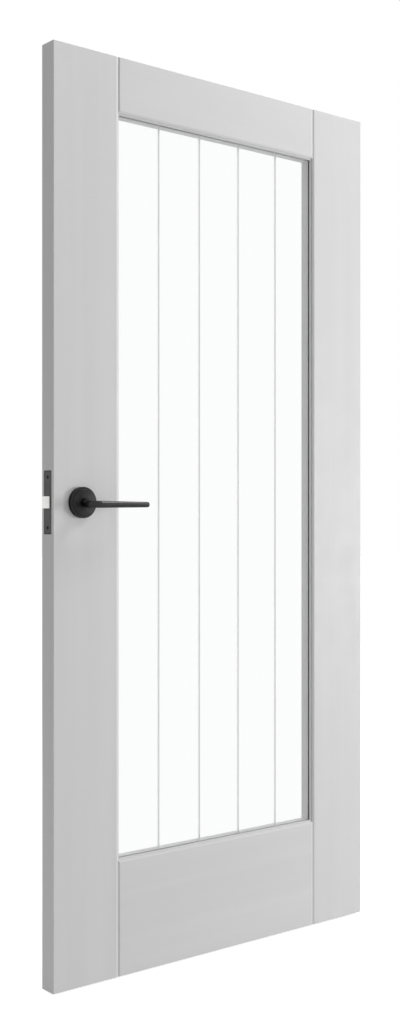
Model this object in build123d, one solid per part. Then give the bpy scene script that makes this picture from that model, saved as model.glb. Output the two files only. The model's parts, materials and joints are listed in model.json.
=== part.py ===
from build123d import *
import math
import os

# Glazed interior door leaf with lever handles, mortice latch and three butt hinges.
# Millimetres. X runs across the leaf, from the latch edge at -X to the hinge edge at +X.
# Y runs through the leaf: the front face looks to -Y and the knuckles stand off the back.
# The origin is the centre of the middle hinge's plate, on the face that meets the frame.

# Leaf
leaf_width = 915.0
leaf_height = 1981.0
leaf_thickness = 44.0
stile_width = 166.0
top_rail_height = 119.0
bottom_rail_height = 250.0
arris_radius = 1.2
groove_slope_width = 4.5
groove_depth = 2.2

# Stub tenons of the rails
tenon_length = 50.0
tenon_thickness = 14.0
tenon_shoulder = 22.0
tenon_clearance = 0.2

# Glazing
glass_thickness = 6.0
glass_setback = 10.0
glass_edge_gap = 1.5
bead_width = 4.0
bead_setback = 5.0
pane_count = 5
cut_line_width = 6.5
cut_line_depth = 1.5

# Butt hinges
hinge_height = 102.0
hinge_half_width = 38.0
hinge_plate = 3.0
hinge_gap = 3.0
hinge_top_inset = 150.0
hinge_bottom_inset = 225.0
knuckle_count = 5
knuckle_radius = 6.0
knuckle_gap = 0.4
knuckle_clearance = 0.4
knuckle_stand_off = 1.0
pin_radius = 3.0
pin_clearance = 0.05
cap_radius = 5.4
cap_height = 2.5
screw_hole_radius = 2.5
screw_head_radius = 4.2
outer_screw_spacing = 76.0
inner_screw_spacing = 28.0
outer_screw_inset = 7.0
inner_screw_inset = 19.0

# Latch
latch_height = 1021.0
spindle_backset = 70.0
spindle_size = 8.0
spindle_fit = 0.1
spindle_reach = 20.0
forend_height = 133.0
forend_width = 28.0
forend_thickness = 3.0
forend_screw_spacing = 106.0
forend_screw_radius = 2.25
forend_head_radius = 4.3
case_depth = 98.0
case_height = 90.0
case_wall = 1.5
seat_clearance = 0.2
bolt_height = 25.0
bolt_thickness = 14.0
bolt_throw = 9.5
bolt_head_length = 38.0
bevel_bulge = 3.3
bolt_clearance = 0.3
tail_thickness = 8.0
tail_height = 5.0
riser_width = 7.0
lug_width = 4.0
lug_drop = 6.0
hub_radius = 9.0
hub_clearance = 0.1
hub_hole_clearance = 2.0
arm_radius = 17.25
arm_half_width = 3.0
arm_thickness = 8.0
arm_clearance = 0.4
lever_turn = 32.0

# Lever handles and roses
rose_radius = 33.0
rose_flange = 9.0
rose_step_radius = 27.5
rose_step = 11.0
rose_collar_radius = 14.0
rose_height = 13.0
rose_edge_chamfer = 0.8
neck_radius = 9.5
neck_clearance = 0.1
neck_end_gap = 1.0
neck_straight = 14.0
lever_stand_off = 50.0
lever_length = 141.0
lever_drop = 4.0
elbow_radius = 17.0
bar_root_radius = 7.5
bar_tip_radius = 6.0
bar_end_radius = 4.5

# Two points closer than this are one
touch = 1e-3

# Places worked out from the sizes
front_y = -leaf_thickness / 2
back_y = leaf_thickness / 2
hinge_spread = leaf_height - hinge_top_inset - hinge_bottom_inset - hinge_height
leaf_bottom_z = -(hinge_bottom_inset + hinge_height / 2 + hinge_spread / 2)
leaf_top_z = leaf_bottom_z + leaf_height
hinge_edge_x = -(hinge_plate + hinge_gap)
latch_edge_x = hinge_edge_x - leaf_width
latch_stile_x = latch_edge_x + stile_width
hinge_stile_x = hinge_edge_x - stile_width
opening_bottom_z = leaf_bottom_z + bottom_rail_height
opening_top_z = leaf_top_z - top_rail_height
top_rail_limits = (opening_top_z, leaf_top_z)
bottom_rail_limits = (leaf_bottom_z, opening_bottom_z)
glass_front_y = front_y + glass_setback
glass_back_y = glass_front_y + glass_thickness
pin_x = -(hinge_plate + hinge_gap / 2)
pin_y = back_y + knuckle_stand_off + knuckle_radius
plate_edge_y = pin_y - hinge_half_width
knuckle_length = (hinge_height - (knuckle_count - 1) * knuckle_gap) / knuckle_count
latch_z = leaf_bottom_z + latch_height
spindle_x = latch_edge_x + spindle_backset
case_front_x = latch_edge_x + forend_thickness
case_width = bolt_thickness + 2 * (bolt_clearance + case_wall)
hinge_places = {"top": hinge_spread / 2, "middle": 0.0, "bottom": -hinge_spread / 2}


def block(x_limits, y_limits, z_limits):
    """Rectangular solid between three pairs of limits."""
    limits = (x_limits, y_limits, z_limits)
    sizes = [high - low for low, high in limits]
    middles = [(high + low) / 2 for low, high in limits]
    return Pos(*middles) * Box(*sizes)


def around(middle, half):
    """Pair of limits on both sides of a middle."""
    return (middle - half, middle + half)


def rod(start, direction, radius, length):
    """Round bar from a start point along a direction."""
    return extrude(Plane(origin=start, z_dir=direction) * Circle(radius), length)


def countersunk_hole(face_point, inward, hole_radius, head_radius, depth):
    """Cutter for a screw hole through a plate, with its cone at the face point."""
    cone_depth = head_radius - hole_radius
    outline = Polyline(
        (0, 0), (head_radius, 0), (hole_radius, cone_depth), (hole_radius, depth), (0, depth), close=True
    )
    turned = revolve(Plane.XZ * make_face(outline), Axis.Z)
    return Plane(origin=face_point, z_dir=inward) * turned


def write(solid, name):
    """Save one piece under its own name."""
    solid.label = name
    export_step(solid, f"parts/{name}.step")


def corners_at(section, x):
    """Corners of a flat section that lie at one place along X."""
    return [corner for corner in section.vertices() if math.isclose(corner.X, x, abs_tol=touch)]


def stile_blank(outer_x, inner_x):
    """Upright: rounded arrises outside and half a shallow V-groove along the inner edges."""
    slope_x = inner_x + math.copysign(groove_slope_width, outer_x - inner_x)
    wall_y = back_y - groove_depth
    outline = Polyline(
        (outer_x, front_y),
        (slope_x, front_y),
        (inner_x, -wall_y),
        (inner_x, wall_y),
        (slope_x, back_y),
        (outer_x, back_y),
        close=True,
    )
    section = make_face(outline)
    section = fillet(corners_at(section, outer_x), arris_radius)
    return extrude(Pos(0, 0, leaf_bottom_z) * section, leaf_height, dir=(0, 0, 1))


def tenon(stile_x, into, z_limits, clearance):
    """Stub tenon of a rail, or with clearance the mortice that takes it."""
    low, high = z_limits
    tip_x = stile_x + into * (tenon_length + clearance)
    x_limits = (min(stile_x, tip_x), max(stile_x, tip_x))
    z_reach = (low + tenon_shoulder - clearance, high - tenon_shoulder + clearance)
    return block(x_limits, around(0, tenon_thickness / 2 + clearance), z_reach)


def rail(z_limits, opening_side):
    """Cross rail with half V-grooves at its ends and along the opening, and two tenons."""
    body = block((latch_stile_x, hinge_stile_x), (front_y, back_y), z_limits)
    for face_side in (0, -1):
        face = body.faces().sort_by(Axis.Y)[face_side]
        ends = face.edges().filter_by(Axis.Z)
        along = face.edges().filter_by(Axis.X).sort_by(Axis.Z)[opening_side]
        body = chamfer([*ends, along], groove_slope_width, groove_depth, reference=face)
    body += tenon(latch_stile_x, -1, z_limits, 0)
    body += tenon(hinge_stile_x, 1, z_limits, 0)
    return body


def latch_stile():
    """Stile with the mortice, plate recess and spindle hole of the latch."""
    body = stile_blank(latch_edge_x, latch_stile_x)
    for limits in (top_rail_limits, bottom_rail_limits):
        body -= tenon(latch_stile_x, -1, limits, tenon_clearance)
    body -= block(
        (latch_edge_x, case_front_x),
        around(0, forend_width / 2 + seat_clearance),
        around(latch_z, forend_height / 2 + seat_clearance),
    )
    body -= block(
        (latch_edge_x, case_front_x + case_depth + seat_clearance),
        around(0, case_width / 2 + seat_clearance),
        around(latch_z, case_height / 2 + seat_clearance),
    )
    hole = rod((spindle_x, front_y, latch_z), (0, 1, 0), hub_radius + hub_hole_clearance, leaf_thickness)
    return body - hole


def hinge_stile():
    """Stile with three recesses, open to the back, for the hinge plates."""
    body = stile_blank(hinge_edge_x, hinge_stile_x)
    for limits in (top_rail_limits, bottom_rail_limits):
        body -= tenon(hinge_stile_x, 1, limits, tenon_clearance)
    for hinge_z in hinge_places.values():
        body -= block(
            (hinge_edge_x - hinge_plate, hinge_edge_x),
            (plate_edge_y - seat_clearance, back_y),
            around(hinge_z, hinge_height / 2 + seat_clearance),
        )
    return body


def glass_pane():
    """Clear pane with V-cut lines that divide the opening into equal lights."""
    pane = block(
        (latch_stile_x + glass_edge_gap, hinge_stile_x - glass_edge_gap),
        (glass_front_y, glass_back_y),
        (opening_bottom_z + glass_edge_gap, opening_top_z - glass_edge_gap),
    )
    light_width = (hinge_stile_x - latch_stile_x) / pane_count
    half = cut_line_width / 2
    for index in range(1, pane_count):
        line_x = latch_stile_x + index * light_width
        notch = Polygon(
            (line_x - half, glass_front_y),
            (line_x, glass_front_y + cut_line_depth),
            (line_x + half, glass_front_y),
            align=None,
        )
        pane -= extrude(Pos(0, 0, opening_bottom_z) * notch, opening_top_z - opening_bottom_z, dir=(0, 0, 1))
    return pane


def glazing_bead(side, y_limits):
    """One mitred bead along the top, bottom, latch or hinge side of the opening."""
    corners = {
        "top": ((latch_stile_x, opening_top_z), (hinge_stile_x, opening_top_z)),
        "bottom": ((hinge_stile_x, opening_bottom_z), (latch_stile_x, opening_bottom_z)),
        "latch": ((latch_stile_x, opening_bottom_z), (latch_stile_x, opening_top_z)),
        "hinge": ((hinge_stile_x, opening_top_z), (hinge_stile_x, opening_bottom_z)),
    }
    (start_x, start_z), (end_x, end_z) = corners[side]
    centre_x = (latch_stile_x + hinge_stile_x) / 2
    centre_z = (opening_bottom_z + opening_top_z) / 2
    inner = [
        (x + math.copysign(bead_width, centre_x - x), z + math.copysign(bead_width, centre_z - z))
        for x, z in ((end_x, end_z), (start_x, start_z))
    ]
    low, high = y_limits
    outline = Polyline((start_x, start_z), (end_x, end_z), *inner, close=True)
    face = Plane(origin=(0, high, 0), x_dir=(1, 0, 0), z_dir=(0, -1, 0)) * make_face(outline)
    return extrude(face, high - low)


def forend():
    """Face plate of the latch with the bolt's window and two screw holes."""
    plate = block(
        (latch_edge_x, case_front_x),
        around(0, forend_width / 2),
        around(latch_z, forend_height / 2),
    )
    plate -= bolt_window(latch_edge_x, case_front_x)
    for side in (-1, 1):
        hole_z = latch_z + side * forend_screw_spacing / 2
        plate -= countersunk_hole(
            (latch_edge_x, 0, hole_z), (1, 0, 0), forend_screw_radius, forend_head_radius, forend_thickness
        )
    return plate


def bolt_window(start_x, end_x):
    """Cutter for the opening that the bolt slides through."""
    return block(
        (start_x, end_x),
        around(0, bolt_thickness / 2 + bolt_clearance),
        around(latch_z, bolt_height / 2 + bolt_clearance),
    )


def latch_case():
    """Hollow steel case with the bolt's mouth and the bearings of the follower."""
    outer = block(
        (case_front_x, case_front_x + case_depth),
        around(0, case_width / 2),
        around(latch_z, case_height / 2),
    )
    cavity = block(
        (case_front_x + case_wall, case_front_x + case_depth - case_wall),
        around(0, case_width / 2 - case_wall),
        around(latch_z, case_height / 2 - case_wall),
    )
    mouth = bolt_window(case_front_x, case_front_x + case_wall)
    start = (spindle_x, -case_width / 2, latch_z)
    bearing = rod(start, (0, 1, 0), hub_radius + hub_clearance, case_width)
    return outer - cavity - mouth - bearing


def latch_bolt():
    """Bolt with a rounded bevel on the front side, and a hooked tail over the hub."""
    half = bolt_thickness / 2
    nose = Vector(latch_edge_x - bolt_throw, half)
    bevel_start = Vector(latch_edge_x, -half)
    bulge = (nose - bevel_start).rotate(Axis.Z, 90).normalized() * bevel_bulge
    bevel = ThreePointArc(bevel_start, (nose + bevel_start) / 2 + bulge, nose)
    head_back_x = latch_edge_x + bolt_head_length
    outline = Polyline(nose, (head_back_x, half), (head_back_x, -half), bevel_start) + bevel
    base_z = latch_z - bolt_height / 2
    head = extrude(Pos(0, 0, base_z) * make_face(outline), bolt_height, dir=(0, 0, 1))
    tail_low = arm_radius + arm_half_width + arm_clearance
    lug_low = tail_low - lug_drop
    lean = math.radians(lever_turn / 2)
    arm_side = (arm_half_width + arm_clearance - lug_low * math.sin(lean)) / math.cos(lean)
    lug_x = spindle_x + arm_side
    riser_x = head_back_x - riser_width
    tail_y = around(0, tail_thickness / 2)
    tail_top_z = latch_z + tail_low + tail_height
    riser = block((riser_x, head_back_x), tail_y, (latch_z, tail_top_z))
    tail = block((riser_x, lug_x + lug_width), tail_y, (latch_z + tail_low, tail_top_z))
    lug = block((lug_x, lug_x + lug_width), tail_y, (latch_z + lug_low, tail_top_z))
    return head + riser + tail + lug


def latch_follower():
    """Hub with a square hole and an arm that leans half the lever's turn at rest."""
    plane = Plane(origin=(spindle_x, 0, latch_z), x_dir=(1, 0, 0), z_dir=(0, -1, 0))
    hub = extrude(plane * Circle(hub_radius), case_width / 2, both=True)
    shank = Pos(0, arm_radius / 2) * Rectangle(2 * arm_half_width, arm_radius)
    tip = Pos(0, arm_radius) * Circle(arm_half_width)
    arm = extrude(plane * Rot(0, 0, lever_turn / 2) * (shank + tip), arm_thickness / 2, both=True)
    hole_size = spindle_size + spindle_fit
    hole = extrude(plane * Rectangle(hole_size, hole_size), case_width / 2, both=True)
    return hub + arm - hole


def spindle():
    """Square bar that joins both levers through the follower."""
    return block(
        around(spindle_x, spindle_size / 2),
        around(0, back_y + spindle_reach),
        around(latch_z, spindle_size / 2),
    )


def front_rose():
    """Round stepped plate with a collar that carries the lever's neck."""
    bore = neck_radius + neck_clearance
    outline = Polyline(
        (bore, 0),
        (rose_radius, 0),
        (rose_radius, rose_flange),
        (rose_step_radius, rose_flange),
        (rose_step_radius, rose_step),
        (rose_collar_radius, rose_step),
        (rose_collar_radius, rose_height),
        (bore, rose_height),
        close=True,
    )
    section = make_face(outline)
    rims = [
        corner
        for radius in (rose_radius, rose_step_radius, rose_collar_radius)
        for corner in ShapeList(corners_at(section, radius)).sort_by(Axis.Y)[-1:]
    ]
    section = chamfer(rims, rose_edge_chamfer)
    solid = revolve(section, Axis.Y)
    return Pos(spindle_x, front_y, latch_z) * Rot(180, 0, 0) * solid


def tapered_bar():
    """Bar of the lever along Z, turned with its domed end."""
    length = lever_length - elbow_radius
    outline = Polyline((0, 0), (bar_root_radius, 0), (bar_tip_radius, length), (0, length), close=True)
    rim = make_face(outline).vertices().filter_by(lambda corner: math.isclose(corner.X, bar_tip_radius))
    section = fillet(rim, bar_end_radius)
    return revolve(Plane.XZ * section, Axis.Z)


def front_lever():
    """Lever: round neck with a square socket, throat, elbow and tapered bar."""
    face = Plane(origin=(spindle_x, front_y, latch_z), x_dir=(1, 0, 0), z_dir=(0, -1, 0))
    reach = lever_stand_off - elbow_radius
    neck = extrude(face.offset(neck_end_gap) * Circle(neck_radius), neck_straight - neck_end_gap)
    elbow_start = face.offset(reach) * Pos(0, -lever_drop) * Circle(bar_root_radius)
    throat = loft([face.offset(neck_straight) * Circle(neck_radius), elbow_start])
    bend_axis = Axis((spindle_x + elbow_radius, front_y - reach, latch_z), (0, 0, 1))
    elbow = revolve(elbow_start, bend_axis, 90)
    bar_start = (spindle_x + elbow_radius, front_y - lever_stand_off, latch_z - lever_drop)
    bar = Plane(origin=bar_start, z_dir=(1, 0, 0)) * tapered_bar()
    socket_size = spindle_size + spindle_fit
    socket = extrude(face * Rectangle(socket_size, socket_size), spindle_reach + neck_end_gap)
    return neck + throat + elbow + bar - socket


def knuckle_rings(hinge_z, radius, gap, remainder):
    """Every second cylinder of the barrel, counted from the bottom."""
    rings = []
    for index in range(knuckle_count):
        if index % 2 == remainder:
            low_z = hinge_z - hinge_height / 2 + index * (knuckle_length + knuckle_gap) - gap
            rings.append(rod((pin_x, pin_y, low_z), (0, 0, 1), radius, knuckle_length + 2 * gap))
    return rings


def hinge_leaf(hinge_z, outer_x, head_side, remainder):
    """Hinge plate with its knuckles, notched round the other plate's knuckles."""
    inner_x = outer_x + head_side * hinge_plate
    plate = block(
        (min(outer_x, inner_x), max(outer_x, inner_x)),
        (plate_edge_y, pin_y),
        around(hinge_z, hinge_height / 2),
    )
    for notch in knuckle_rings(hinge_z, knuckle_radius + knuckle_clearance, knuckle_gap, 1 - remainder):
        plate -= notch
    for ring in knuckle_rings(hinge_z, knuckle_radius, 0, remainder):
        plate += ring
    bore_start = (pin_x, pin_y, hinge_z - hinge_height / 2)
    plate -= rod(bore_start, (0, 0, 1), pin_radius + pin_clearance, hinge_height)
    rows = (
        (plate_edge_y + outer_screw_inset, outer_screw_spacing),
        (plate_edge_y + inner_screw_inset, inner_screw_spacing),
    )
    for hole_y, spacing in rows:
        for side in (-1, 1):
            head_point = (inner_x, hole_y, hinge_z + side * spacing / 2)
            plate -= countersunk_hole(
                head_point, (-head_side, 0, 0), screw_hole_radius, screw_head_radius, hinge_plate
            )
    return plate


def hinge_pin(hinge_z):
    """Pin through the knuckles with a flat cap at each end."""
    half = hinge_height / 2
    pin = rod((pin_x, pin_y, hinge_z - half), (0, 0, 1), pin_radius, hinge_height)
    for low_z in (hinge_z - half - cap_height, hinge_z + half):
        pin += rod((pin_x, pin_y, low_z), (0, 0, 1), cap_radius, cap_height)
    return pin


os.makedirs("parts", exist_ok=True)

write(latch_stile(), "latch_stile")
write(hinge_stile(), "hinge_stile")
write(rail(top_rail_limits, 0), "top_rail")
write(rail(bottom_rail_limits, -1), "bottom_rail")
write(glass_pane(), "glass_pane")
for bead_side in ("top", "bottom", "latch", "hinge"):
    write(glazing_bead(bead_side, (front_y + bead_setback, glass_front_y)), f"front_bead_{bead_side}")
    write(glazing_bead(bead_side, (glass_back_y, back_y - bead_setback)), f"back_bead_{bead_side}")

write(forend(), "latch_forend")
write(latch_case(), "latch_case")
write(latch_bolt(), "latch_bolt")
write(latch_follower(), "latch_follower")
write(spindle(), "spindle")
write(front_rose(), "rose_front")
write(front_rose().mirror(Plane.XZ), "rose_back")
write(front_lever(), "lever_front")
write(front_lever().mirror(Plane.XZ), "lever_back")

for place_name, place_z in hinge_places.items():
    write(hinge_leaf(place_z, 0.0, -1, 0), f"hinge_{place_name}_frame_leaf")
    write(hinge_leaf(place_z, hinge_edge_x - hinge_plate, 1, 1), f"hinge_{place_name}_door_leaf")
    write(hinge_pin(place_z), f"hinge_{place_name}_pin")
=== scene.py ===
import json
import math

import bmesh
import bpy
from bpy.props import FloatProperty, FloatVectorProperty, IntProperty, PointerProperty
from mathutils import Matrix, Vector


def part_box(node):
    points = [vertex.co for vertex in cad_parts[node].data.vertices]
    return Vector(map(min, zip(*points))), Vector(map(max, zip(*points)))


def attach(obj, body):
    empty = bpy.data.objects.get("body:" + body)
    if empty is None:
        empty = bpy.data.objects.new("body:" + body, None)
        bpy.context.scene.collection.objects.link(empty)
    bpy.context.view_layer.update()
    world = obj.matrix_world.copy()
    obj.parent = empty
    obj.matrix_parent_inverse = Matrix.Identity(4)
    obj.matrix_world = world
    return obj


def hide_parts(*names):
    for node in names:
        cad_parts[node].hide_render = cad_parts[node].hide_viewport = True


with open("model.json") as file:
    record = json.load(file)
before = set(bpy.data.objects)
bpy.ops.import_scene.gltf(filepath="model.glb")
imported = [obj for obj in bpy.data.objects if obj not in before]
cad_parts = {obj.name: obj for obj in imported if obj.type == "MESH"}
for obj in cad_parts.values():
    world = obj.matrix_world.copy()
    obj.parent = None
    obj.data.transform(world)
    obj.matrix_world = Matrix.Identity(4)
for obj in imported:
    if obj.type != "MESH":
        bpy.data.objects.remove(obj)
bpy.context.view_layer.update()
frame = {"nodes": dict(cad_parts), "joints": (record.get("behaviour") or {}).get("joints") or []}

bl_info = {
    "name": "Glazed interior door",
    "version": (1, 0, 0),
    "blender": (4, 5, 0),
    "location": "3D View > Sidebar > Door",
    "description": "Paints, glazes and fits a hinged interior door with lever handles and a mortice latch",
    "category": "Object",
}

MM = 0.001
FRONT = -1
BACK = 1
WHITE = (1, 1, 1, 1)

# Places read from the frame, in metres
JOINTS = {joint["name"]: joint for joint in frame["joints"]}
SPINDLE = Vector(JOINTS["lever_turn"]["pos_m"])
LEAF_LOW = Vector(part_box("latch_stile")[0])
LEAF_HIGH = Vector(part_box("hinge_stile")[1])
LEAF_MIDDLE = (LEAF_LOW + LEAF_HIGH) / 2
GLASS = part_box("glass_pane")
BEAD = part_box("front_bead_top")
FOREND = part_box("latch_forend")
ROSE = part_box("rose_front")
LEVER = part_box("lever_front")

# Nodes by finish
UPRIGHTS = (
    "latch_stile", "hinge_stile",
    "front_bead_latch", "front_bead_hinge", "back_bead_latch", "back_bead_hinge",
)
CROSS_PIECES = (
    "top_rail", "bottom_rail",
    "front_bead_top", "front_bead_bottom", "back_bead_top", "back_bead_bottom",
)
LATCH_INSIDE = ("latch_case", "latch_follower", "spindle")
HINGES = ("top", "middle", "bottom")

# Sizes that the solids share with the finished pieces
NECK_FOOT = 1 * MM
NECK_STRAIGHT = 14 * MM
NECK_CLEARANCE = 0.1 * MM
ROSE_EDGE = 0.7 * MM
PLATE_SCREW = {"radius": 4.2 * MM, "depth": 2.0 * MM}
PLATE_SCREW_REACH = 53 * MM
HINGE_SCREW = {"radius": 4.1 * MM, "depth": 1.6 * MM}
# Distance of each row from the plate's inner edge, and of its screws from the hinge's middle
HINGE_SCREW_ROWS = ((7 * MM, 38 * MM), (19 * MM, 14 * MM))

# Steps round the swept and turned pieces, and along each stretch of a lever
ROUND_STEPS = 64
THROAT_STEPS = 8
ELBOW_STEPS = 16
BAR_STEPS = 8
DOME_STEPS = 10

# The bar's domed end: its length in tip radii, and how far the dome turns in before it is closed flat
DOME_LENGTH = 0.8
DOME_TURN = math.radians(86)

# A screw's head in shares of its radius, and its cross's foot in shares of the cross's mouth
CROWN_INSET = 0.08
CROWN_RISE = 0.05
CROSS_INSET = 0.38
CROSS_ARM = 0.13
CROSS_DEPTH = 0.45
CROSS_TAPER = 0.72

# Paint: the grain's stretch along the wood, its sheen and how far its roughness strays
GRAIN_STRETCH = {"X": (0.03, 1, 1), "Z": (1, 1, 0.03)}
PAINT_SHEEN = 0.28
PAINT_UNEVENNESS = 0.05

# Glass: the look of a cut line reaches past the 1.5 mm deep V, but not to the pane's back
GLASS_IOR = 1.46
GLASS_HAZE = 0.012
# Painted shade: the cut lines' tint is darkened to stand in for the grey that the V-cut's refraction gives;
# their frosting is real
CUT_LINE_PAINTED_SHADE = 0.8
CUT_REACH = 2.5 * MM
CUT_SOFT_SHARE = 1 / 8

# Metals, and the stretch of their brush lines along an upright or a level piece
BRUSH_DEPTH = 0.003 * MM
METAL_UNEVENNESS = 0.06
BRUSHED_UPRIGHT = (1, 1, 0.04)
BRUSHED_LEVEL = (0.04, 1, 1)
ZINC = (0.55, 0.56, 0.57)
# Painted shade: near black round a plate's rim, standing in for the shadow in the gap around it
RIM_PAINTED_SHADE = (0.012, 0.012, 0.012)
# Distances from a plate's rim at which the painted shade starts to fade and has gone
RIM_SHADE_FADE = (1.2 * MM, 2.0 * MM)

# Places on the stage in metres: the camera's from the foot of the leaf's front latch corner, a lamp's
# from what it faces
CAMERA_PLACE = Vector((-1.5213, -2.3310, 0.9905))
KEY_LAMP_PLACE = Vector((5.0, -3.3, 0.0))
KEY_LAMP_SIZE = (2.0, 1.9)
TOP_LAMP_PLACE = Vector((2.3, -1.25, 3.05))
TOP_LAMP_SIZE = (1.0, 1.0)
BACK_LAMP_PLACE = Vector((0.5, 2.8, 1.2))
BACK_LAMP_SIZE = (1.6, 1.6)
FLOOR_GAP = 6 * MM
FLOOR_RADIUS = 30


# Settings


class PaintSettings(bpy.types.PropertyGroup):
    """Satin paint of the leaf and its beads"""
    colour: FloatVectorProperty(
        name="Paint colour", description="Colour of the satin paint", subtype="COLOR",
        size=3, min=0, max=1, default=(0.76, 0.76, 0.76),
    )
    roughness: FloatProperty(
        name="Paint roughness", description="How dull the dried paint is", subtype="FACTOR",
        min=0, max=1, default=0.46,
    )
    grain_depth: FloatProperty(
        name="Grain depth", description="Depth of the wood grain that shows through the paint",
        unit="LENGTH", precision=5, min=0, default=0.00008,
    )


class GlassSettings(bpy.types.PropertyGroup):
    """Clear pane with upright V-cut lines"""
    tint: FloatVectorProperty(
        name="Glass tint", description="Colour of the clear glass", subtype="COLOR",
        size=3, min=0, max=1, default=(0.97, 0.975, 0.975),
    )
    lights: IntProperty(
        name="Lights", description="Number of equal strips that the cut lines make", min=1, default=5,
    )
    cut_width: FloatProperty(
        name="Cut width", description="Width of a ground V-cut line", unit="LENGTH",
        precision=4, min=0, default=0.0065,
    )
    cut_roughness: FloatProperty(
        name="Cut roughness", description="How frosted a cut line is", subtype="FACTOR",
        min=0, max=1, default=0.5,
    )
    cut_clearness: FloatProperty(
        name="Cut clearness", description="How much light still passes through a cut line",
        subtype="FACTOR", min=0, max=1, default=0.5,
    )


class HandleSettings(bpy.types.PropertyGroup):
    """Lever handles and their roses"""
    metal: FloatVectorProperty(
        name="Handle metal", description="Colour of the dark satin metal", subtype="COLOR",
        size=3, min=0, max=1, default=(0.028, 0.028, 0.028),
    )
    roughness: FloatProperty(
        name="Handle roughness", description="How brushed the handle's metal is", subtype="FACTOR",
        min=0, max=1, default=0.3,
    )
    # Painted highlight: the lever takes a lighter copy of the rose's metal, standing in for the light along
    # it
    bar_painted_light: FloatProperty(
        name="Bar painted light", description="How much lighter the lever is than its rose", min=0, default=1.45,
    )
    neck_radius: FloatProperty(
        name="Neck radius", description="Radius of the round neck in the rose", unit="LENGTH",
        precision=4, min=0, default=0.0095,
    )
    elbow_radius: FloatProperty(
        name="Elbow radius", description="Radius of the bend between the neck and the bar", unit="LENGTH",
        precision=4, min=0, default=0.017,
    )
    root_radius: FloatProperty(
        name="Root radius", description="Radius of the bar beside the elbow", unit="LENGTH",
        precision=4, min=0, default=0.0075,
    )
    tip_radius: FloatProperty(
        name="Tip radius", description="Radius of the bar before its domed end", unit="LENGTH",
        precision=4, min=0, default=0.006,
    )
    drop: FloatProperty(
        name="Bar drop", description="How far the bar lies below the spindle", unit="LENGTH",
        precision=4, default=0.004,
    )
    rose_flange: FloatProperty(
        name="Rose flange", description="Height of the rose's outer wall", unit="LENGTH",
        precision=4, min=0, default=0.009,
    )
    rose_step: FloatProperty(
        name="Rose step", description="Height of the rose's inner step", unit="LENGTH",
        precision=4, min=0, default=0.011,
    )
    step_radius: FloatProperty(
        name="Step radius", description="Radius of the rose's inner step", unit="LENGTH",
        precision=4, min=0, default=0.0275,
    )
    collar_radius: FloatProperty(
        name="Collar radius", description="Radius of the collar round the neck", unit="LENGTH",
        precision=4, min=0, default=0.014,
    )


class LatchSettings(bpy.types.PropertyGroup):
    """Bolt, face plate and hinges"""
    bolt_metal: FloatVectorProperty(
        name="Bolt metal", description="Colour of the bright bolt", subtype="COLOR",
        size=3, min=0, max=1, default=(0.74, 0.74, 0.73),
    )
    forend_metal: FloatVectorProperty(
        name="Face plate metal", description="Colour of the dark face plate", subtype="COLOR",
        size=3, min=0, max=1, default=(0.075, 0.075, 0.075),
    )
    hinge_metal: FloatVectorProperty(
        name="Hinge metal", description="Colour of the satin hinges", subtype="COLOR",
        size=3, min=0, max=1, default=(0.3, 0.3, 0.3),
    )


class StageSettings(bpy.types.PropertyGroup):
    """Camera, lamps and floor"""
    focal_length: FloatProperty(
        name="Focal length", description="Lens in millimetres on a 36 mm frame", min=1, default=46.44,
    )
    camera_turn: FloatProperty(
        name="Camera turn", description="Angle of the level camera to the leaf's normal", subtype="ANGLE",
        default=math.radians(39.4),
    )
    key_power: FloatProperty(
        name="Key lamp", description="Power of the large lamp on the hinge side in watts",
        min=0, default=152,
    )
    top_power: FloatProperty(
        name="Top lamp",
        description="Power of the lamp above that draws a line along the levers, in watts",
        min=0, default=50,
    )
    back_power: FloatProperty(
        name="Back lamp", description="Power of the soft lamp behind the leaf in watts", min=0, default=45,
    )
    sky_level: FloatProperty(
        name="Sky level", description="Even light from all round", min=0, default=0.38,
    )
    floor_tone: FloatProperty(
        name="Floor tone", description="How pale the floor is", subtype="FACTOR",
        min=0, max=1, default=0.76,
    )
    floor_lift: FloatProperty(
        name="Floor lift", description="White added to the floor where the camera sees it",
        subtype="FACTOR", min=0, max=1, default=0.8,
    )


class DoorSettings(bpy.types.PropertyGroup):
    """Settings of the whole door"""
    paint: PointerProperty(type=PaintSettings, name="Paint")
    glass: PointerProperty(type=GlassSettings, name="Glass")
    handle: PointerProperty(type=HandleSettings, name="Handles")
    latch: PointerProperty(type=LatchSettings, name="Latch and hinges")
    stage: PointerProperty(type=StageSettings, name="Stage")


def settings():
    """All settings of the door, kept on the scene."""
    return bpy.context.scene.glazed_door


# Materials


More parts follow.
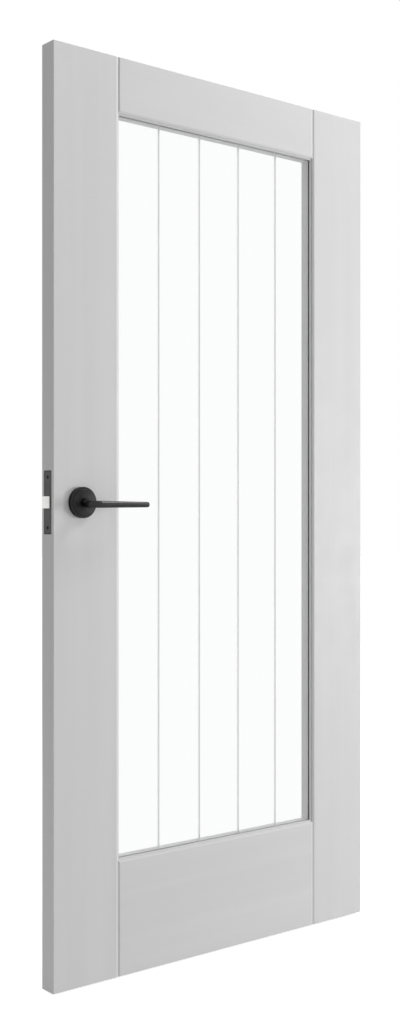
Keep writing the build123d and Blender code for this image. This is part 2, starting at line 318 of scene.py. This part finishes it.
class Finish:
    """Node tree of one material, with its shader and the coordinates it reads."""

    def __init__(self, name):
        self.material = bpy.data.materials.new(name)
        self.material.use_nodes = True
        self.tree = self.material.node_tree
        self.shader = self.tree.nodes["Principled BSDF"]
        self.place = self.add("ShaderNodeTexCoord").outputs["Object"]

    def add(self, kind, **values):
        """New node with its properties set."""
        node = self.tree.nodes.new(kind)
        for name, value in values.items():
            setattr(node, name, value)
        return node

    def link(self, output, target):
        """Wire between two sockets."""
        self.tree.links.new(output, target)

    def stretched(self, scale):
        """Object coordinates scaled along each axis."""
        mapping = self.add("ShaderNodeMapping")
        mapping.inputs["Scale"].default_value = scale
        self.link(self.place, mapping.inputs["Vector"])
        return mapping.outputs["Vector"]

    def axis(self, name):
        """One of the object coordinates, X, Y or Z."""
        axes = self.add("ShaderNodeSeparateXYZ")
        self.link(self.place, axes.inputs["Vector"])
        return axes.outputs[name]

    def noise(self, scale, detail=3.0, stretch=(1, 1, 1)):
        """Noise with a number of waves to the metre, drawn out along an axis whose stretch is small."""
        node = self.add("ShaderNodeTexNoise")
        node.inputs["Scale"].default_value = scale
        node.inputs["Detail"].default_value = detail
        self.link(self.stretched(stretch), node.inputs["Vector"])
        return node.outputs["Fac"]

    def ranged(self, value, low, high, start=0.3, end=0.7):
        """Smooth step from low to high while the value goes from start to end."""
        node = self.add("ShaderNodeMapRange", interpolation_type="SMOOTHSTEP")
        node.inputs["From Min"].default_value = start
        node.inputs["From Max"].default_value = end
        node.inputs["To Min"].default_value = low
        node.inputs["To Max"].default_value = high
        self.link(value, node.inputs["Value"])
        return node.outputs["Result"]

    def maths(self, operation, first, second=None):
        """One step of arithmetic on a value."""
        node = self.add("ShaderNodeMath", operation=operation)
        for socket, value in zip(node.inputs, (first, second)):
            if isinstance(value, (int, float)):
                socket.default_value = value
            elif value is not None:
                self.link(value, socket)
        return node.outputs["Value"]

    def tones(self, factor, dark, light):
        """Colour between two tones, each a colour or a socket that gives one."""
        node = self.add("ShaderNodeMix", data_type="RGBA")
        ends = [socket for socket in node.inputs if socket.type == "RGBA"]
        for socket, colour in zip(ends, (dark, light)):
            if isinstance(colour, bpy.types.NodeSocket):
                self.link(colour, socket)
            else:
                socket.default_value = (*colour, 1)
        self.link(factor, node.inputs["Factor"])
        return [socket for socket in node.outputs if socket.type == "RGBA"][0]

    def bump(self, height, distance, below=None):
        """Fine relief, laid over another if given."""
        node = self.add("ShaderNodeBump")
        node.inputs["Strength"].default_value = 1.0
        node.inputs["Distance"].default_value = distance
        self.link(height, node.inputs["Height"])
        if below is not None:
            self.link(below, node.inputs["Normal"])
        return node.outputs["Normal"]

    def wire(self, **outputs):
        """Wires of the shader's own sockets by name."""
        for name, output in outputs.items():
            self.link(output, self.shader.inputs[name.replace("_", " ")])


def shade(colour, factor):
    """Colour made darker or lighter by a factor."""
    return tuple(min(1.0, channel * factor) for channel in colour)


def painted_wood(name, along):
    """Satin paint over smooth wood, with the grain along X or Z."""
    paint = settings().paint
    finish = Finish(name)
    stretch = GRAIN_STRETCH[along]
    grain = finish.noise(scale=420, detail=4, stretch=stretch)
    stipple = finish.noise(scale=1300, detail=2)
    streaks = finish.noise(scale=26, stretch=stretch)
    dark = shade(paint.colour, factor=0.98)
    light = shade(paint.colour, factor=1.012)
    colour = finish.tones(finish.ranged(streaks, 0, 1), dark, light)
    patches = finish.noise(scale=24)
    rough = finish.ranged(
        patches, paint.roughness - PAINT_UNEVENNESS, paint.roughness + PAINT_UNEVENNESS
    )
    relief = finish.bump(grain, paint.grain_depth)
    relief = finish.bump(stipple, paint.grain_depth / 2, below=relief)
    finish.wire(Base_Color=colour, Roughness=rough, Normal=relief)
    finish.shader.inputs["Specular IOR Level"].default_value = PAINT_SHEEN
    return finish.material


def cut_glass(name):
    """Clear glass whose V-cut lines are ground and slightly frosted, their tint darkened as painted shade."""
    glass = settings().glass
    finish = Finish(name)
    cut = cut_mask(finish)
    # Painted shade: the tint on the cut lines darkened where the V-cut would look grey
    colour = finish.tones(cut, glass.tint, shade(glass.tint, CUT_LINE_PAINTED_SHADE))
    waves = finish.noise(scale=60, detail=2, stretch=(1, 1, 0.2))
    smooth = finish.ranged(waves, 0, GLASS_HAZE)
    rough = finish.maths("MAXIMUM", smooth, finish.maths("MULTIPLY", cut, glass.cut_roughness))
    clearness = finish.ranged(cut, 1.0, glass.cut_clearness, 0, 1)
    finish.wire(Base_Color=colour, Roughness=rough, Transmission_Weight=clearness)
    finish.shader.inputs["IOR"].default_value = GLASS_IOR
    return finish.material


def cut_mask(finish):
    """One on the V-cut lines between the lights on the pane's front, nought elsewhere."""
    glass = settings().glass
    light_width = (BEAD[1].x - BEAD[0].x) / glass.lights
    across = finish.maths("SUBTRACT", finish.axis("X"), BEAD[0].x)
    lights_in = finish.maths("FRACT", finish.maths("DIVIDE", across, light_width))
    off_middle = finish.maths("ABSOLUTE", finish.maths("SUBTRACT", lights_in, 0.5))
    edge = 0.5 - glass.cut_width / 2 / light_width
    soft_edge = glass.cut_width * CUT_SOFT_SHARE / light_width
    near_line = finish.ranged(off_middle, 0, 1, edge, edge + soft_edge)
    front = finish.maths("LESS_THAN", finish.axis("Y"), GLASS[0].y + CUT_REACH)
    return finish.maths("MULTIPLY", near_line, front)


def brushed_metal(name, colour, roughness, stretch=(1, 1, 1), plate=None):
    """Metal brushed along the axis whose stretch is small, with a painted shadow line round the rim if a
    plate's box is given.
    """
    finish = Finish(name)
    lines = finish.noise(scale=2200, stretch=stretch)
    patches = finish.ranged(finish.noise(scale=35), 0, 1)
    tone = finish.tones(patches, shade(colour, factor=0.9), shade(colour, factor=1.08))
    if plate:
        # Painted shade: the rim darkened to near black where the gap round the plate would lie in shadow
        tone = finish.tones(painted_rim_shade_mask(finish, *plate), RIM_PAINTED_SHADE, tone)
    rough = finish.ranged(lines, roughness - METAL_UNEVENNESS, roughness + METAL_UNEVENNESS)
    finish.wire(Base_Color=tone, Roughness=rough, Normal=finish.bump(lines, BRUSH_DEPTH))
    finish.shader.inputs["Metallic"].default_value = 1.0
    return finish.material


def painted_rim_shade_mask(finish, low, high):
    """Nought on the rim of an upright plate across Y and Z, where its shade is painted, one inside it."""
    middle = (low + high) / 2
    half = (high - low) / 2
    off_y = finish.maths("ABSOLUTE", finish.maths("SUBTRACT", finish.axis("Y"), middle.y))
    off_z = finish.maths("ABSOLUTE", finish.maths("SUBTRACT", finish.axis("Z"), middle.z))
    inside_y = finish.maths("SUBTRACT", half.y, off_y)
    inside_z = finish.maths("SUBTRACT", half.z, off_z)
    return finish.ranged(finish.maths("MINIMUM", inside_y, inside_z), 0, 1, *RIM_SHADE_FADE)


def coat(obj, material):
    """One material on the whole object."""
    obj.data.materials.clear()
    obj.data.materials.append(material)


def coat_node(node, material):
    """Better material on a CAD node's own slots."""
    if node not in frame["nodes"]:
        raise RuntimeError(f"The frame has no node {node}")
    obj = frame["nodes"][node]
    if not obj.material_slots:
        obj.data.materials.append(material)
    for slot in obj.material_slots:
        slot.material = material


# Shapes


def finish_piece(mesh, name, body, material, nodes=(), smooth_angle=30):
    """Object from a finished bmesh: normals out, smooth where it curves, riding on its body."""
    bmesh.ops.remove_doubles(mesh, verts=mesh.verts, dist=0.001 * MM)
    bmesh.ops.recalc_face_normals(mesh, faces=mesh.faces)
    if any(len(edge.link_faces) != 2 for edge in mesh.edges):
        raise RuntimeError(f"{name} isn't closed")
    limit = math.radians(smooth_angle)
    for face in mesh.faces:
        face.smooth = True
    for edge in mesh.edges:
        edge.smooth = edge.calc_face_angle() < limit
    obj = linked_object(mesh, name)
    coat(obj, material)
    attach(obj, body)
    if nodes:
        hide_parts(*nodes)


def linked_object(mesh, name):
    """Object in the scene made of a bmesh, which is freed."""
    data = bpy.data.meshes.new(name)
    mesh.to_mesh(data)
    mesh.free()
    obj = bpy.data.objects.new(name, data)
    bpy.context.scene.collection.objects.link(obj)
    return obj


def leaf_face(side):
    """Where the leaf's front or back face lies along Y."""
    return LEAF_LOW.y if side == FRONT else LEAF_HIGH.y


def shares(count):
    """Even shares of a stretch, the last one 1."""
    return [step / count for step in range(1, count + 1)]


def section(centre, normal, radius):
    """Place of a round section: from a unit circle to its radius, facing along the normal."""
    forward = Vector(normal).normalized()
    up = Vector((0, 0, 1))
    turn = Matrix((up.cross(forward), up, forward)).transposed().to_4x4()
    return Matrix.Translation(centre) @ turn @ Matrix.Diagonal((radius, radius, 1, 1))


def swept(sections):
    """Closed tube through a row of sections."""
    mesh = bmesh.new()
    bmesh.ops.create_circle(mesh, radius=1.0, segments=ROUND_STEPS, matrix=sections[0])
    ring = mesh.edges[:]
    for before, after in zip(sections, sections[1:]):
        grown = bmesh.ops.extrude_edge_only(mesh, edges=ring)["geom"]
        ring = [item for item in grown if isinstance(item, bmesh.types.BMEdge)]
        points = [item for item in grown if isinstance(item, bmesh.types.BMVert)]
        bmesh.ops.transform(mesh, matrix=after @ before.inverted(), verts=points)
    bmesh.ops.holes_fill(mesh, edges=[edge for edge in mesh.edges if edge.is_boundary])
    return mesh


def lever_point(side, along, outward, drop):
    """Place on a lever, measured from the spindle where it leaves the door's face."""
    return Vector((SPINDLE.x + along, leaf_face(side) + side * outward, SPINDLE.z - drop))


def neck_sections(side, reach):
    """Straight neck in the rose, then the throat that narrows and drops to the elbow."""
    handle = settings().handle
    outward_axis = (0, side, 0)
    sections = [
        section(lever_point(side, 0, outward, 0), outward_axis, handle.neck_radius)
        for outward in (NECK_FOOT, NECK_STRAIGHT)
    ]
    for share in shares(THROAT_STEPS):
        ease = share * share * (3 - 2 * share)
        radius = handle.neck_radius + share * (handle.root_radius - handle.neck_radius)
        outward = NECK_STRAIGHT + share * (reach - NECK_STRAIGHT)
        sections.append(section(lever_point(side, 0, outward, ease * handle.drop), outward_axis, radius))
    return sections


def elbow_sections(side, reach):
    """Quarter turn from the neck into the bar."""
    handle = settings().handle
    sections = []
    for share in shares(ELBOW_STEPS):
        turn = share * math.pi / 2
        along = handle.elbow_radius * (1 - math.cos(turn))
        outward = reach + handle.elbow_radius * math.sin(turn)
        facing = (math.sin(turn), side * math.cos(turn), 0)
        place = lever_point(side, along, outward, handle.drop)
        sections.append(section(place, facing, handle.root_radius))
    return sections


def bar_sections(side, stand_off):
    """Tapered bar and its domed end."""
    handle = settings().handle
    dome = handle.tip_radius * DOME_LENGTH
    bar_end = LEVER[1].x - SPINDLE.x - dome
    sections = []
    for share in shares(BAR_STEPS):
        radius = handle.root_radius + share * (handle.tip_radius - handle.root_radius)
        along = handle.elbow_radius + share * (bar_end - handle.elbow_radius)
        sections.append(section(lever_point(side, along, stand_off, handle.drop), (1, 0, 0), radius))
    for share in shares(DOME_STEPS):
        turn = share * DOME_TURN
        along = bar_end + dome * math.sin(turn)
        radius = handle.tip_radius * math.cos(turn)
        sections.append(section(lever_point(side, along, stand_off, handle.drop), (1, 0, 0), radius))
    return sections


def lever_sections(side):
    """Sections of a lever from its neck's foot to the end of its dome."""
    handle = settings().handle
    stand_off = LEAF_LOW.y - LEVER[0].y - handle.root_radius
    reach = stand_off - handle.elbow_radius
    return neck_sections(side, reach) + elbow_sections(side, reach) + bar_sections(side, stand_off)


def rose_mesh(side):
    """Stepped rose turned from its outline, its corners eased apart from those on the leaf and the neck."""
    handle = settings().handle
    radius = (ROSE[1].x - ROSE[0].x) / 2
    height = ROSE[1].y - ROSE[0].y
    bore = handle.neck_radius + NECK_CLEARANCE
    outline = (
        (bore, 0), (radius, 0), (radius, handle.rose_flange), (handle.step_radius, handle.rose_flange),
        (handle.step_radius, handle.rose_step), (handle.collar_radius, handle.rose_step),
        (handle.collar_radius, height), (bore, height),
    )
    centre = Vector((SPINDLE.x, leaf_face(side), SPINDLE.z))
    mesh = bmesh.new()
    row = [mesh.verts.new(centre + Vector((across, side * out, 0))) for across, out in outline]
    for pair in zip(row, row[1:] + row[:1]):
        mesh.edges.new(pair)
    bmesh.ops.bevel(
        mesh, geom=row[2:-1], offset=ROSE_EDGE, offset_type="OFFSET", affect="VERTICES",
        segments=5, profile=0.5, material=-1,
    )
    bmesh.ops.spin(
        mesh, geom=mesh.verts[:] + mesh.edges[:], cent=centre, axis=(0, side, 0),
        angle=math.tau, steps=2 * ROUND_STEPS, use_merge=True,
    )
    return mesh


def screw_mesh(centre, outward, radius, depth):
    """Countersunk screw head with a cross recess, its rim flush with the plate."""
    mesh = bmesh.new()
    bmesh.ops.create_cone(
        mesh, cap_ends=True, segments=ROUND_STEPS // 2, radius1=radius - depth, radius2=radius,
        depth=depth, matrix=Matrix.Translation((0, 0, -depth / 2)),
    )
    top = max(mesh.faces, key=lambda face: face.calc_center_median().z)
    bmesh.ops.inset_region(
        mesh, faces=[top], thickness=radius * CROWN_INSET, depth=radius * CROWN_RISE
    )
    bmesh.ops.inset_region(mesh, faces=[top], thickness=radius * CROSS_INSET, depth=0)
    cut_cross(mesh, top, arm=radius * CROSS_ARM, depth=radius * CROSS_DEPTH)
    turn = Vector(outward).to_track_quat("Z", "Y").to_matrix().to_4x4()
    bmesh.ops.transform(mesh, matrix=Matrix.Translation(centre) @ turn, verts=mesh.verts)
    return mesh


def cut_cross(mesh, top, arm, depth):
    """Tapered cross sunk into a round face that lies flat across X and Y."""
    region = [top, *top.edges, *top.verts]
    for normal in (Vector((1, 0, 0)), Vector((0, 1, 0))):
        for side in (-arm, arm):
            cut = bmesh.ops.bisect_plane(
                mesh, geom=region, dist=0.0001 * MM, plane_co=normal * side, plane_no=normal
            )
            region = cut["geom"]
    cross = [
        item for item in region
        if isinstance(item, bmesh.types.BMFace) and min(map(abs, item.calc_center_median().xy)) < arm
    ]
    sunk = bmesh.ops.extrude_face_region(mesh, geom=cross)["geom"]
    bmesh.ops.delete(mesh, geom=cross, context="FACES")
    points = [item for item in sunk if isinstance(item, bmesh.types.BMVert)]
    bmesh.ops.scale(mesh, verts=points, vec=(CROSS_TAPER, CROSS_TAPER, 1))
    bmesh.ops.translate(mesh, verts=points, vec=(0, 0, -depth))


def joined(meshes):
    """One bmesh from several."""
    whole = bmesh.new()
    for mesh in meshes:
        data = bpy.data.meshes.new("part")
        mesh.to_mesh(data)
        mesh.free()
        whole.from_mesh(data)
        bpy.data.meshes.remove(data)
    return whole


# Stage


def rays(tree, *kinds):
    """One where a ray is of one of the kinds, nought elsewhere."""
    path = tree.nodes.new("ShaderNodeLightPath")
    total = path.outputs[kinds[0]]
    for kind in kinds[1:]:
        larger = tree.nodes.new("ShaderNodeMath")
        larger.operation = "MAXIMUM"
        tree.links.new(total, larger.inputs[0])
        tree.links.new(path.outputs[kind], larger.inputs[1])
        total = larger.outputs["Value"]
    return total


def lay_floor():
    """Pale floor just under the leaf."""
    mesh = bmesh.new()
    bmesh.ops.create_circle(
        mesh, cap_ends=True, radius=FLOOR_RADIUS, segments=96,
        matrix=Matrix.Translation((0, 0, LEAF_LOW.z - FLOOR_GAP)),
    )
    floor = linked_object(mesh, "floor")
    coat(floor, pale_floor("floor_white"))


def pale_floor(name):
    """Matt floor that takes shadows, lifted to white for the camera and plain white in glass and metal."""
    stage = settings().stage
    tone = stage.floor_tone
    finish = Finish(name)
    finish.shader.inputs["Base Color"].default_value = (tone, tone, tone, 1)
    finish.shader.inputs["Roughness"].default_value = 0.9
    finish.shader.inputs["Specular IOR Level"].default_value = 0.0
    finish.shader.inputs["Emission Color"].default_value = WHITE
    lift = finish.maths("MULTIPLY", rays(finish.tree, "Is Camera Ray"), stage.floor_lift)
    finish.wire(Emission_Strength=lift)
    white = finish.add("ShaderNodeEmission")
    mix = finish.add("ShaderNodeMixShader")
    finish.link(rays(finish.tree, "Is Glossy Ray", "Is Transmission Ray"), mix.inputs[0])
    finish.link(finish.shader.outputs["BSDF"], mix.inputs[1])
    finish.link(white.outputs["Emission"], mix.inputs[2])
    finish.link(mix.outputs["Shader"], finish.tree.nodes["Material Output"].inputs["Surface"])
    return finish.material


def light_world():
    """Even sky, white where the background shows."""
    world = bpy.data.worlds.new("sky")
    bpy.context.scene.world = world
    world.use_nodes = True
    tree = world.node_tree
    background = tree.nodes["Background"]
    background.inputs["Color"].default_value = WHITE
    mix = tree.nodes.new("ShaderNodeMapRange")
    mix.inputs["To Min"].default_value = settings().stage.sky_level
    mix.inputs["To Max"].default_value = 1.0
    seen = rays(tree, "Is Camera Ray", "Is Glossy Ray", "Is Transmission Ray")
    tree.links.new(seen, mix.inputs["Value"])
    tree.links.new(mix.outputs["Result"], background.inputs["Strength"])


def hang_lamps():
    """Large lamp on the hinge side, one above the levers and a soft one behind that no piece mirrors."""
    stage = settings().stage
    area_lamp("key_lamp", LEAF_MIDDLE, KEY_LAMP_PLACE, KEY_LAMP_SIZE, stage.key_power)
    area_lamp("top_lamp", SPINDLE, TOP_LAMP_PLACE, TOP_LAMP_SIZE, stage.top_power)
    back_lamp = area_lamp("back_lamp", LEAF_MIDDLE, BACK_LAMP_PLACE, BACK_LAMP_SIZE, stage.back_power)
    # Seen from the back, the pane would mirror it as a white square
    back_lamp.visible_glossy = False


def area_lamp(name, aim, offset, size, power):
    """Rectangular lamp at an offset from the point it faces, unseen by the camera, through glass too."""
    data = bpy.data.lights.new(name, "AREA")
    data.shape = "RECTANGLE"
    data.size, data.size_y = size
    data.energy = power
    lamp = bpy.data.objects.new(name, data)
    lamp.location = aim + offset
    lamp.rotation_euler = (-offset).to_track_quat("-Z", "Y").to_euler()
    lamp.visible_camera = False
    lamp.visible_transmission = False
    bpy.context.scene.collection.objects.link(lamp)
    return lamp


def place_camera():
    """Level camera on the latch side, at half the leaf's height."""
    stage = settings().stage
    data = bpy.data.cameras.new("camera")
    data.lens = stage.focal_length
    data.sensor_width = 36
    camera = bpy.data.objects.new("camera", data)
    camera.location = LEAF_LOW + CAMERA_PLACE
    camera.rotation_euler = (math.pi / 2, 0, -stage.camera_turn)
    bpy.context.scene.collection.objects.link(camera)
    bpy.context.scene.camera = camera


# Operators


class DOOR_OT_paint_leaf(bpy.types.Operator):
    """Paint the stiles, rails and glazing beads"""
    bl_idname = "door.paint_leaf"
    bl_label = "Paint the leaf"

    def execute(self, context):
        upright = painted_wood("satin_paint_upright", "Z")
        across = painted_wood("satin_paint_across", "X")
        for node in UPRIGHTS:
            coat_node(node, upright)
        for node in CROSS_PIECES:
            coat_node(node, across)
        return {"FINISHED"}


class DOOR_OT_glaze(bpy.types.Operator):
    """Finish the pane as clear glass with V-cut lines"""
    bl_idname = "door.glaze"
    bl_label = "Glaze the opening"

    def execute(self, context):
        coat_node("glass_pane", cut_glass("cut_glass"))
        return {"FINISHED"}


class DOOR_OT_fit_handles(bpy.types.Operator):
    """Turn the roses and shape the levers on both faces"""
    bl_idname = "door.fit_handles"
    bl_label = "Fit the handles"

    def execute(self, context):
        handle = settings().handle
        # Painted highlight: a lighter copy of the rose's metal for the lever
        bar_painted_light_tone = shade(handle.metal, handle.bar_painted_light)
        bar_metal = brushed_metal("handle_metal", bar_painted_light_tone, handle.roughness, stretch=BRUSHED_LEVEL)
        rose_metal = brushed_metal("rose_metal", handle.metal, handle.roughness)
        for side, word in ((FRONT, "front"), (BACK, "back")):
            finish_piece(
                swept(lever_sections(side)), f"lever_{word}_shaped", "lever", bar_metal,
                nodes=[f"lever_{word}"], smooth_angle=40,
            )
            finish_piece(
                rose_mesh(side), f"rose_{word}_turned", "door", rose_metal,
                nodes=[f"rose_{word}"], smooth_angle=28,
            )
        return {"FINISHED"}


class DOOR_OT_fit_latch(bpy.types.Operator):
    """Finish the face plate, bolt, case and their screws"""
    bl_idname = "door.fit_latch"
    bl_label = "Fit the latch"

    def execute(self, context):
        latch = settings().latch
        # The face plate's rim gets a painted shadow line
        plate = brushed_metal(
            "face_plate_metal", latch.forend_metal, roughness=0.38, stretch=BRUSHED_UPRIGHT, plate=FOREND
        )
        bright = brushed_metal("bolt_metal", latch.bolt_metal, roughness=0.26, stretch=BRUSHED_UPRIGHT)
        zinc = brushed_metal("case_zinc", ZINC, roughness=0.45)
        coat_node("latch_forend", plate)
        coat_node("latch_bolt", bright)
        for node in LATCH_INSIDE:
            coat_node(node, zinc)
        screws = [
            screw_mesh((FOREND[0].x, 0, SPINDLE.z + reach), (-1, 0, 0), **PLATE_SCREW)
            for reach in (-PLATE_SCREW_REACH, PLATE_SCREW_REACH)
        ]
        dark = shade(latch.forend_metal, factor=0.25)
        screw_metal = brushed_metal("screw_metal", dark, roughness=0.35)
        finish_piece(joined(screws), "face_plate_screws", "door", screw_metal)
        return {"FINISHED"}


class DOOR_OT_fit_hinges(bpy.types.Operator):
    """Finish the butt hinges and put screws in the leaf's plates"""
    bl_idname = "door.fit_hinges"
    bl_label = "Fit the hinges"

    def execute(self, context):
        latch = settings().latch
        steel = brushed_metal("hinge_metal", latch.hinge_metal, roughness=0.5, stretch=(1, 1, 0.05))
        light = shade(latch.hinge_metal, factor=1.1)
        pin_steel = brushed_metal("hinge_pin_metal", light, roughness=0.4)
        for place in HINGES:
            coat_node(f"hinge_{place}_frame_leaf", steel)
            coat_node(f"hinge_{place}_door_leaf", steel)
            coat_node(f"hinge_{place}_pin", pin_steel)
            low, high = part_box(f"hinge_{place}_door_leaf")
            middle_z = (low.z + high.z) / 2
            screws = [
                screw_mesh((LEAF_HIGH.x, low.y + row, middle_z + side * reach), (1, 0, 0), **HINGE_SCREW)
                for row, reach in HINGE_SCREW_ROWS for side in (-1, 1)
            ]
            finish_piece(joined(screws), f"hinge_{place}_screws", "door", pin_steel)
        return {"FINISHED"}


class DOOR_OT_set_stage(bpy.types.Operator):
    """Lay the floor and set up the sky, the lamps and the camera"""
    bl_idname = "door.set_stage"
    bl_label = "Set the stage"

    def execute(self, context):
        lay_floor()
        light_world()
        hang_lamps()
        place_camera()
        context.scene.view_settings.view_transform = "Standard"
        return {"FINISHED"}


# Panel and registration


class DOOR_PT_build(bpy.types.Panel):
    """Settings of the door and its steps in the order they are made"""
    bl_idname = "DOOR_PT_build"
    bl_label = "Glazed door"
    bl_space_type = "VIEW_3D"
    bl_region_type = "UI"
    bl_category = "Door"

    def draw(self, context):
        door = context.scene.glazed_door
        for title, group in (
            ("Paint", door.paint), ("Glass", door.glass), ("Handles", door.handle),
            ("Latch and hinges", door.latch), ("Stage", door.stage),
        ):
            box = self.layout.box()
            box.label(text=title)
            for name in group.__annotations__:
                box.prop(group, name)
        for operator in OPERATORS:
            self.layout.operator(operator.bl_idname)


GROUPS = (PaintSettings, GlassSettings, HandleSettings, LatchSettings, StageSettings, DoorSettings)
OPERATORS = (
    DOOR_OT_paint_leaf, DOOR_OT_glaze, DOOR_OT_fit_handles,
    DOOR_OT_fit_latch, DOOR_OT_fit_hinges, DOOR_OT_set_stage,
)
CLASSES = GROUPS + OPERATORS + (DOOR_PT_build,)


def register():
    """Add the settings, the operators and the panel."""
    for kind in CLASSES:
        bpy.utils.register_class(kind)
    bpy.types.Scene.glazed_door = PointerProperty(type=DoorSettings)


def unregister():
    """Take the settings, the operators and the panel away."""
    del bpy.types.Scene.glazed_door
    for kind in reversed(CLASSES):
        bpy.utils.unregister_class(kind)


def main():
    """Make the door and its stage."""
    register()
    bpy.ops.door.paint_leaf()
    bpy.ops.door.glaze()
    bpy.ops.door.fit_handles()
    bpy.ops.door.fit_latch()
    bpy.ops.door.fit_hinges()
    bpy.ops.door.set_stage()


if __name__ == "__main__":
    main()
